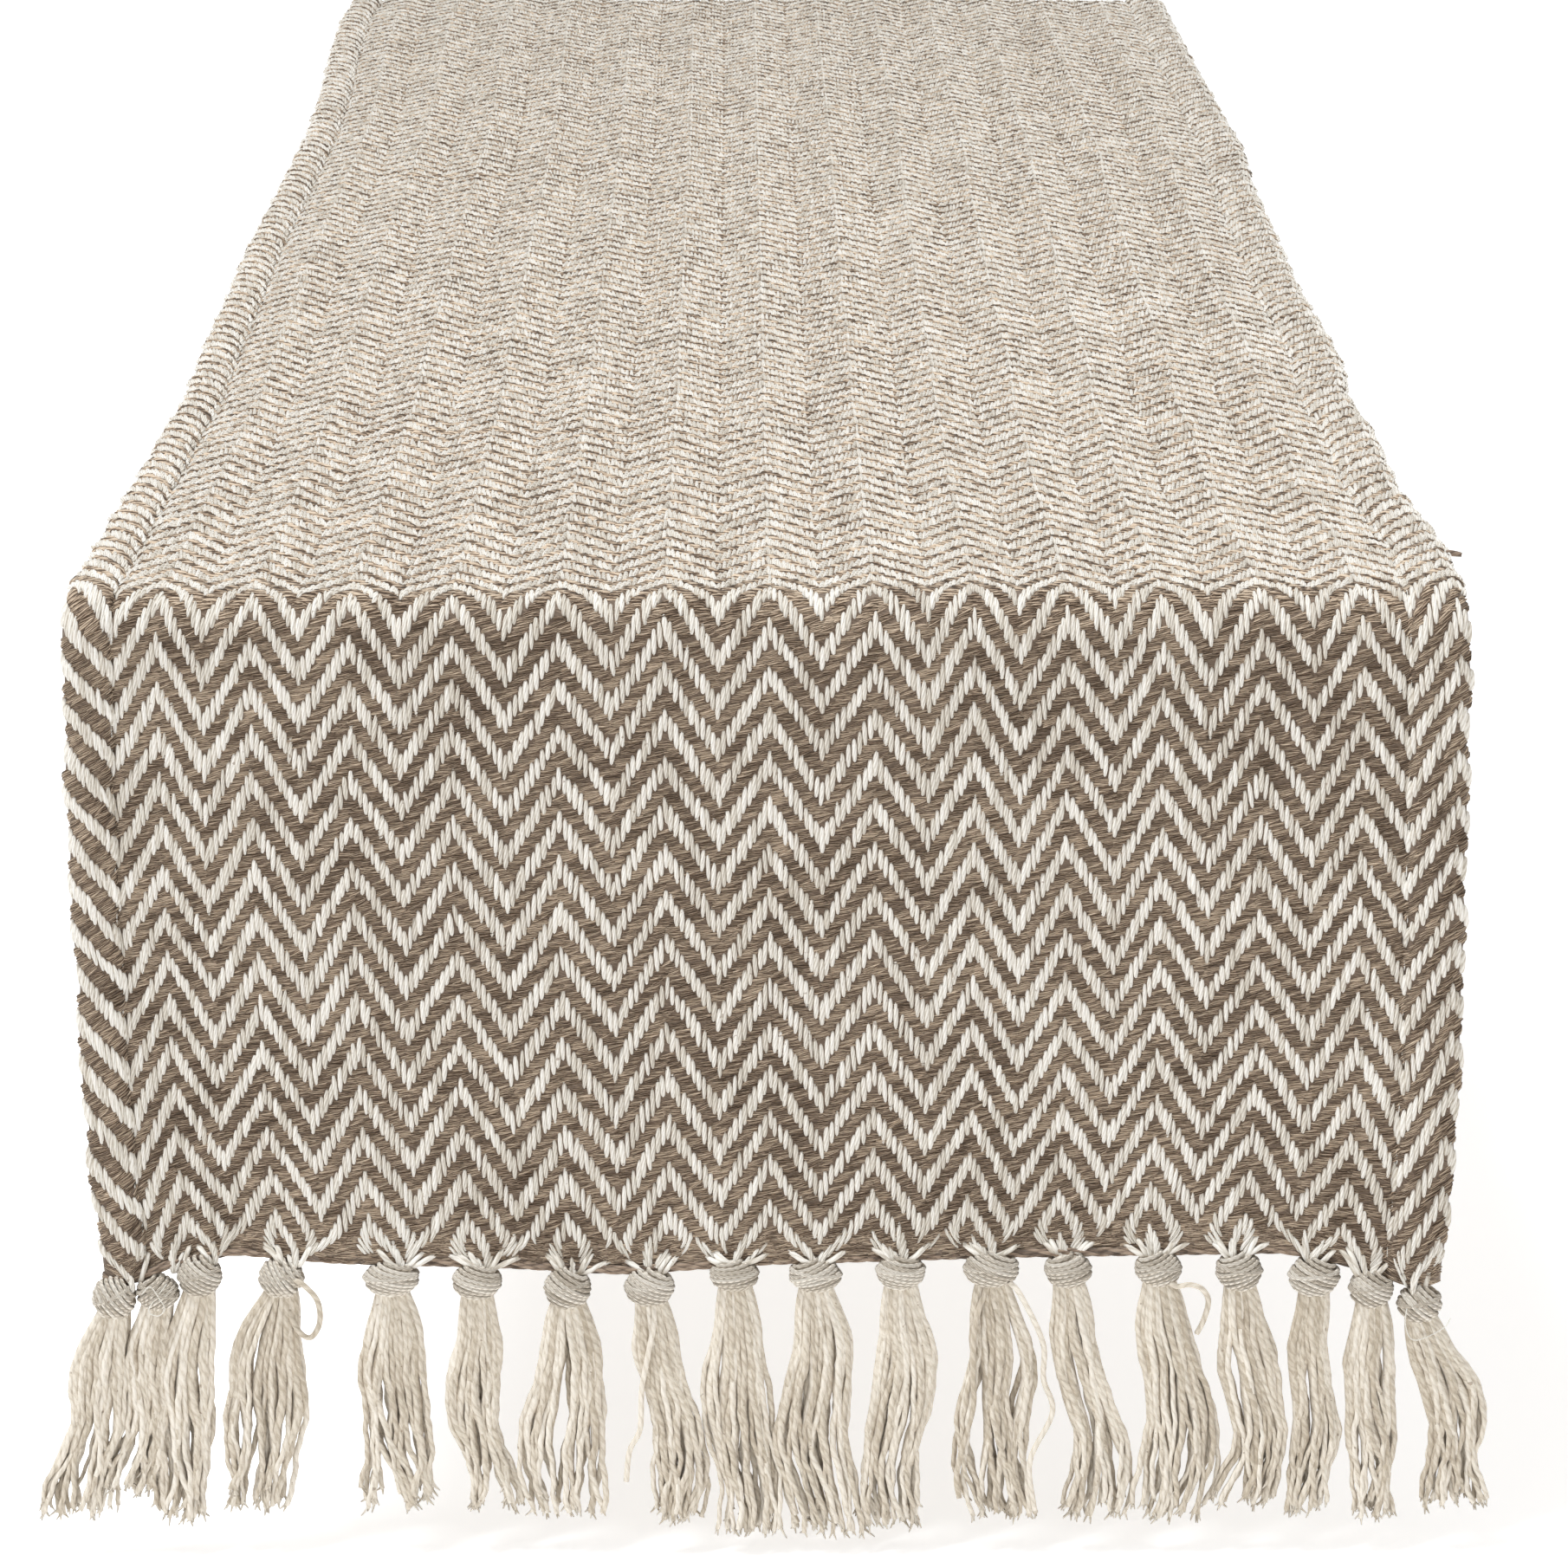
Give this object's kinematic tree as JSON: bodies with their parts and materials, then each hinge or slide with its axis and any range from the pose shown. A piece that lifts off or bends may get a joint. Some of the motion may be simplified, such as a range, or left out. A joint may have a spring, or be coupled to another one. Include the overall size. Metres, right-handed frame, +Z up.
{
  "type": "table runner",
  "caption": "Long hand-woven chevron-twill table runner laid flat with both ends hanging over the table edges, stitched side hems and a row of knotted tassels along each end.",
  "frame": {"origin": "centre of the flat underside that lies on the table, midway between the two drops", "axes": "+Z up from the table, +Y along the runner from the front drop to the back drop, X across it; the front drop hangs at -Y"},
  "size_m": [0.4076, 1.305, 0.2674],
  "materials": {
    "chevron_twill": "heavy cotton twill, cream warp floats over taupe weft, matt",
    "cream_thread": "cream sewing thread, matt",
    "cream_warp_yarn": "soft undyed cotton yarn, matt",
    "taupe_weft_yarn": "taupe brown cotton yarn with flecks, matt"
  },
  "bodies": {
    "top": {"top_cloth": "chevron_twill", "top_left_hem": "chevron_twill", "top_right_hem": "chevron_twill", "top_left_hem_thread": "cream_thread", "top_right_hem_thread": "cream_thread", "right_weft_tail": "taupe_weft_yarn", "front_bend_cloth": "chevron_twill", "back_bend_cloth": "chevron_twill"},
    "front_drop": {"front_drop_cloth": "chevron_twill", "front_drop_left_hem": "chevron_twill", "front_drop_right_hem": "chevron_twill", "front_drop_left_hem_thread": "cream_thread", "front_drop_right_hem_thread": "cream_thread", "front_heading_cord": "taupe_weft_yarn"},
    "front_tassel_01": {"front_tassel_01": "cream_warp_yarn"},
    "front_tassel_02": {"front_tassel_02": "cream_warp_yarn"},
    "front_tassel_03": {"front_tassel_03": "cream_warp_yarn"},
    "front_tassel_04": {"front_tassel_04": "cream_warp_yarn"},
    "front_tassel_05": {"front_tassel_05": "cream_warp_yarn"},
    "front_tassel_06": {"front_tassel_06": "cream_warp_yarn"},
    "front_tassel_07": {"front_tassel_07": "cream_warp_yarn"},
    "front_tassel_08": {"front_tassel_08": "cream_warp_yarn"},
    "front_tassel_09": {"front_tassel_09": "cream_warp_yarn"},
    "front_tassel_10": {"front_tassel_10": "cream_warp_yarn"},
    "front_tassel_11": {"front_tassel_11": "cream_warp_yarn"},
    "front_tassel_12": {"front_tassel_12": "cream_warp_yarn"},
    "front_tassel_13": {"front_tassel_13": "cream_warp_yarn"},
    "front_tassel_14": {"front_tassel_14": "cream_warp_yarn"},
    "front_tassel_15": {"front_tassel_15": "cream_warp_yarn"},
    "front_tassel_16": {"front_tassel_16": "cream_warp_yarn"},
    "front_tassel_17": {"front_tassel_17": "cream_warp_yarn"},
    "front_tassel_18": {"front_tassel_18": "cream_warp_yarn"},
    "back_drop": {"back_drop_cloth": "chevron_twill", "back_drop_left_hem": "chevron_twill", "back_drop_right_hem": "chevron_twill", "back_drop_left_hem_thread": "cream_thread", "back_drop_right_hem_thread": "cream_thread", "back_heading_cord": "taupe_weft_yarn"},
    "back_tassel_01": {"back_tassel_01": "cream_warp_yarn"},
    "back_tassel_02": {"back_tassel_02": "cream_warp_yarn"},
    "back_tassel_03": {"back_tassel_03": "cream_warp_yarn"},
    "back_tassel_04": {"back_tassel_04": "cream_warp_yarn"},
    "back_tassel_05": {"back_tassel_05": "cream_warp_yarn"},
    "back_tassel_06": {"back_tassel_06": "cream_warp_yarn"},
    "back_tassel_07": {"back_tassel_07": "cream_warp_yarn"},
    "back_tassel_08": {"back_tassel_08": "cream_warp_yarn"},
    "back_tassel_09": {"back_tassel_09": "cream_warp_yarn"},
    "back_tassel_10": {"back_tassel_10": "cream_warp_yarn"},
    "back_tassel_11": {"back_tassel_11": "cream_warp_yarn"},
    "back_tassel_12": {"back_tassel_12": "cream_warp_yarn"},
    "back_tassel_13": {"back_tassel_13": "cream_warp_yarn"},
    "back_tassel_14": {"back_tassel_14": "cream_warp_yarn"},
    "back_tassel_15": {"back_tassel_15": "cream_warp_yarn"},
    "back_tassel_16": {"back_tassel_16": "cream_warp_yarn"},
    "back_tassel_17": {"back_tassel_17": "cream_warp_yarn"},
    "back_tassel_18": {"back_tassel_18": "cream_warp_yarn"}
  },
  "joints": [
    {"name": "front_drop_fold", "type": "hinge", "parent": "top", "child": "front_drop", "pos_m": [0, -0.6461, -0.0004], "axis": [-1, 0, 0], "range_deg": [0, 90], "deforming": ["front_bend_cloth"]},
    {"name": "front_tassel_01_swing", "type": "hinge", "parent": "front_drop", "child": "front_tassel_01", "pos_m": [0, -0.6479, -0.1869], "axis": [-1, 0, 0], "range_deg": [-60, 60]},
    {"name": "front_tassel_02_swing", "type": "hinge", "parent": "front_drop", "child": "front_tassel_02", "pos_m": [0, -0.6479, -0.1869], "axis": [-1, 0, 0], "range_deg": [-60, 60]},
    {"name": "front_tassel_03_swing", "type": "hinge", "parent": "front_drop", "child": "front_tassel_03", "pos_m": [0, -0.6479, -0.1869], "axis": [-1, 0, 0], "range_deg": [-60, 60]},
    {"name": "front_tassel_04_swing", "type": "hinge", "parent": "front_drop", "child": "front_tassel_04", "pos_m": [0, -0.6479, -0.1869], "axis": [-1, 0, 0], "range_deg": [-60, 60]},
    {"name": "front_tassel_05_swing", "type": "hinge", "parent": "front_drop", "child": "front_tassel_05", "pos_m": [0, -0.6479, -0.1869], "axis": [-1, 0, 0], "range_deg": [-60, 60]},
    {"name": "front_tassel_06_swing", "type": "hinge", "parent": "front_drop", "child": "front_tassel_06", "pos_m": [0, -0.6479, -0.1869], "axis": [-1, 0, 0], "range_deg": [-60, 60]},
    {"name": "front_tassel_07_swing", "type": "hinge", "parent": "front_drop", "child": "front_tassel_07", "pos_m": [0, -0.6479, -0.1869], "axis": [-1, 0, 0], "range_deg": [-60, 60]},
    {"name": "front_tassel_08_swing", "type": "hinge", "parent": "front_drop", "child": "front_tassel_08", "pos_m": [0, -0.6479, -0.1869], "axis": [-1, 0, 0], "range_deg": [-60, 60]},
    {"name": "front_tassel_09_swing", "type": "hinge", "parent": "front_drop", "child": "front_tassel_09", "pos_m": [0, -0.6479, -0.1869], "axis": [-1, 0, 0], "range_deg": [-60, 60]},
    {"name": "front_tassel_10_swing", "type": "hinge", "parent": "front_drop", "child": "front_tassel_10", "pos_m": [0, -0.6479, -0.1869], "axis": [-1, 0, 0], "range_deg": [-60, 60]},
    {"name": "front_tassel_11_swing", "type": "hinge", "parent": "front_drop", "child": "front_tassel_11", "pos_m": [0, -0.6479, -0.1869], "axis": [-1, 0, 0], "range_deg": [-60, 60]},
    {"name": "front_tassel_12_swing", "type": "hinge", "parent": "front_drop", "child": "front_tassel_12", "pos_m": [0, -0.6479, -0.1869], "axis": [-1, 0, 0], "range_deg": [-60, 60]},
    {"name": "front_tassel_13_swing", "type": "hinge", "parent": "front_drop", "child": "front_tassel_13", "pos_m": [0, -0.6479, -0.1869], "axis": [-1, 0, 0], "range_deg": [-60, 60]},
    {"name": "front_tassel_14_swing", "type": "hinge", "parent": "front_drop", "child": "front_tassel_14", "pos_m": [0, -0.6479, -0.1869], "axis": [-1, 0, 0], "range_deg": [-60, 60]},
    {"name": "front_tassel_15_swing", "type": "hinge", "parent": "front_drop", "child": "front_tassel_15", "pos_m": [0, -0.6479, -0.1869], "axis": [-1, 0, 0], "range_deg": [-60, 60]},
    {"name": "front_tassel_16_swing", "type": "hinge", "parent": "front_drop", "child": "front_tassel_16", "pos_m": [0, -0.6479, -0.1869], "axis": [-1, 0, 0], "range_deg": [-60, 60]},
    {"name": "front_tassel_17_swing", "type": "hinge", "parent": "front_drop", "child": "front_tassel_17", "pos_m": [0, -0.6479, -0.1869], "axis": [-1, 0, 0], "range_deg": [-60, 60]},
    {"name": "front_tassel_18_swing", "type": "hinge", "parent": "front_drop", "child": "front_tassel_18", "pos_m": [0, -0.6479, -0.1869], "axis": [-1, 0, 0], "range_deg": [-60, 60]},
    {"name": "back_drop_fold", "type": "hinge", "parent": "top", "child": "back_drop", "pos_m": [0, 0.6461, -0.0004], "axis": [1, 0, 0], "range_deg": [0, 90], "deforming": ["back_bend_cloth"]},
    {"name": "back_tassel_01_swing", "type": "hinge", "parent": "back_drop", "child": "back_tassel_01", "pos_m": [0, 0.6479, -0.1869], "axis": [1, 0, 0], "range_deg": [-60, 60]},
    {"name": "back_tassel_02_swing", "type": "hinge", "parent": "back_drop", "child": "back_tassel_02", "pos_m": [0, 0.6479, -0.1869], "axis": [1, 0, 0], "range_deg": [-60, 60]},
    {"name": "back_tassel_03_swing", "type": "hinge", "parent": "back_drop", "child": "back_tassel_03", "pos_m": [0, 0.6479, -0.1869], "axis": [1, 0, 0], "range_deg": [-60, 60]},
    {"name": "back_tassel_04_swing", "type": "hinge", "parent": "back_drop", "child": "back_tassel_04", "pos_m": [0, 0.6479, -0.1869], "axis": [1, 0, 0], "range_deg": [-60, 60]},
    {"name": "back_tassel_05_swing", "type": "hinge", "parent": "back_drop", "child": "back_tassel_05", "pos_m": [0, 0.6479, -0.1869], "axis": [1, 0, 0], "range_deg": [-60, 60]},
    {"name": "back_tassel_06_swing", "type": "hinge", "parent": "back_drop", "child": "back_tassel_06", "pos_m": [0, 0.6479, -0.1869], "axis": [1, 0, 0], "range_deg": [-60, 60]},
    {"name": "back_tassel_07_swing", "type": "hinge", "parent": "back_drop", "child": "back_tassel_07", "pos_m": [0, 0.6479, -0.1869], "axis": [1, 0, 0], "range_deg": [-60, 60]},
    {"name": "back_tassel_08_swing", "type": "hinge", "parent": "back_drop", "child": "back_tassel_08", "pos_m": [0, 0.6479, -0.1869], "axis": [1, 0, 0], "range_deg": [-60, 60]},
    {"name": "back_tassel_09_swing", "type": "hinge", "parent": "back_drop", "child": "back_tassel_09", "pos_m": [0, 0.6479, -0.1869], "axis": [1, 0, 0], "range_deg": [-60, 60]},
    {"name": "back_tassel_10_swing", "type": "hinge", "parent": "back_drop", "child": "back_tassel_10", "pos_m": [0, 0.6479, -0.1869], "axis": [1, 0, 0], "range_deg": [-60, 60]},
    {"name": "back_tassel_11_swing", "type": "hinge", "parent": "back_drop", "child": "back_tassel_11", "pos_m": [0, 0.6479, -0.1869], "axis": [1, 0, 0], "range_deg": [-60, 60]},
    {"name": "back_tassel_12_swing", "type": "hinge", "parent": "back_drop", "child": "back_tassel_12", "pos_m": [0, 0.6479, -0.1869], "axis": [1, 0, 0], "range_deg": [-60, 60]},
    {"name": "back_tassel_13_swing", "type": "hinge", "parent": "back_drop", "child": "back_tassel_13", "pos_m": [0, 0.6479, -0.1869], "axis": [1, 0, 0], "range_deg": [-60, 60]},
    {"name": "back_tassel_14_swing", "type": "hinge", "parent": "back_drop", "child": "back_tassel_14", "pos_m": [0, 0.6479, -0.1869], "axis": [1, 0, 0], "range_deg": [-60, 60]},
    {"name": "back_tassel_15_swing", "type": "hinge", "parent": "back_drop", "child": "back_tassel_15", "pos_m": [0, 0.6479, -0.1869], "axis": [1, 0, 0], "range_deg": [-60, 60]},
    {"name": "back_tassel_16_swing", "type": "hinge", "parent": "back_drop", "child": "back_tassel_16", "pos_m": [0, 0.6479, -0.1869], "axis": [1, 0, 0], "range_deg": [-60, 60]},
    {"name": "back_tassel_17_swing", "type": "hinge", "parent": "back_drop", "child": "back_tassel_17", "pos_m": [0, 0.6479, -0.1869], "axis": [1, 0, 0], "range_deg": [-60, 60]},
    {"name": "back_tassel_18_swing", "type": "hinge", "parent": "back_drop", "child": "back_tassel_18", "pos_m": [0, 0.6479, -0.1869], "axis": [1, 0, 0], "range_deg": [-60, 60]}
  ]
}
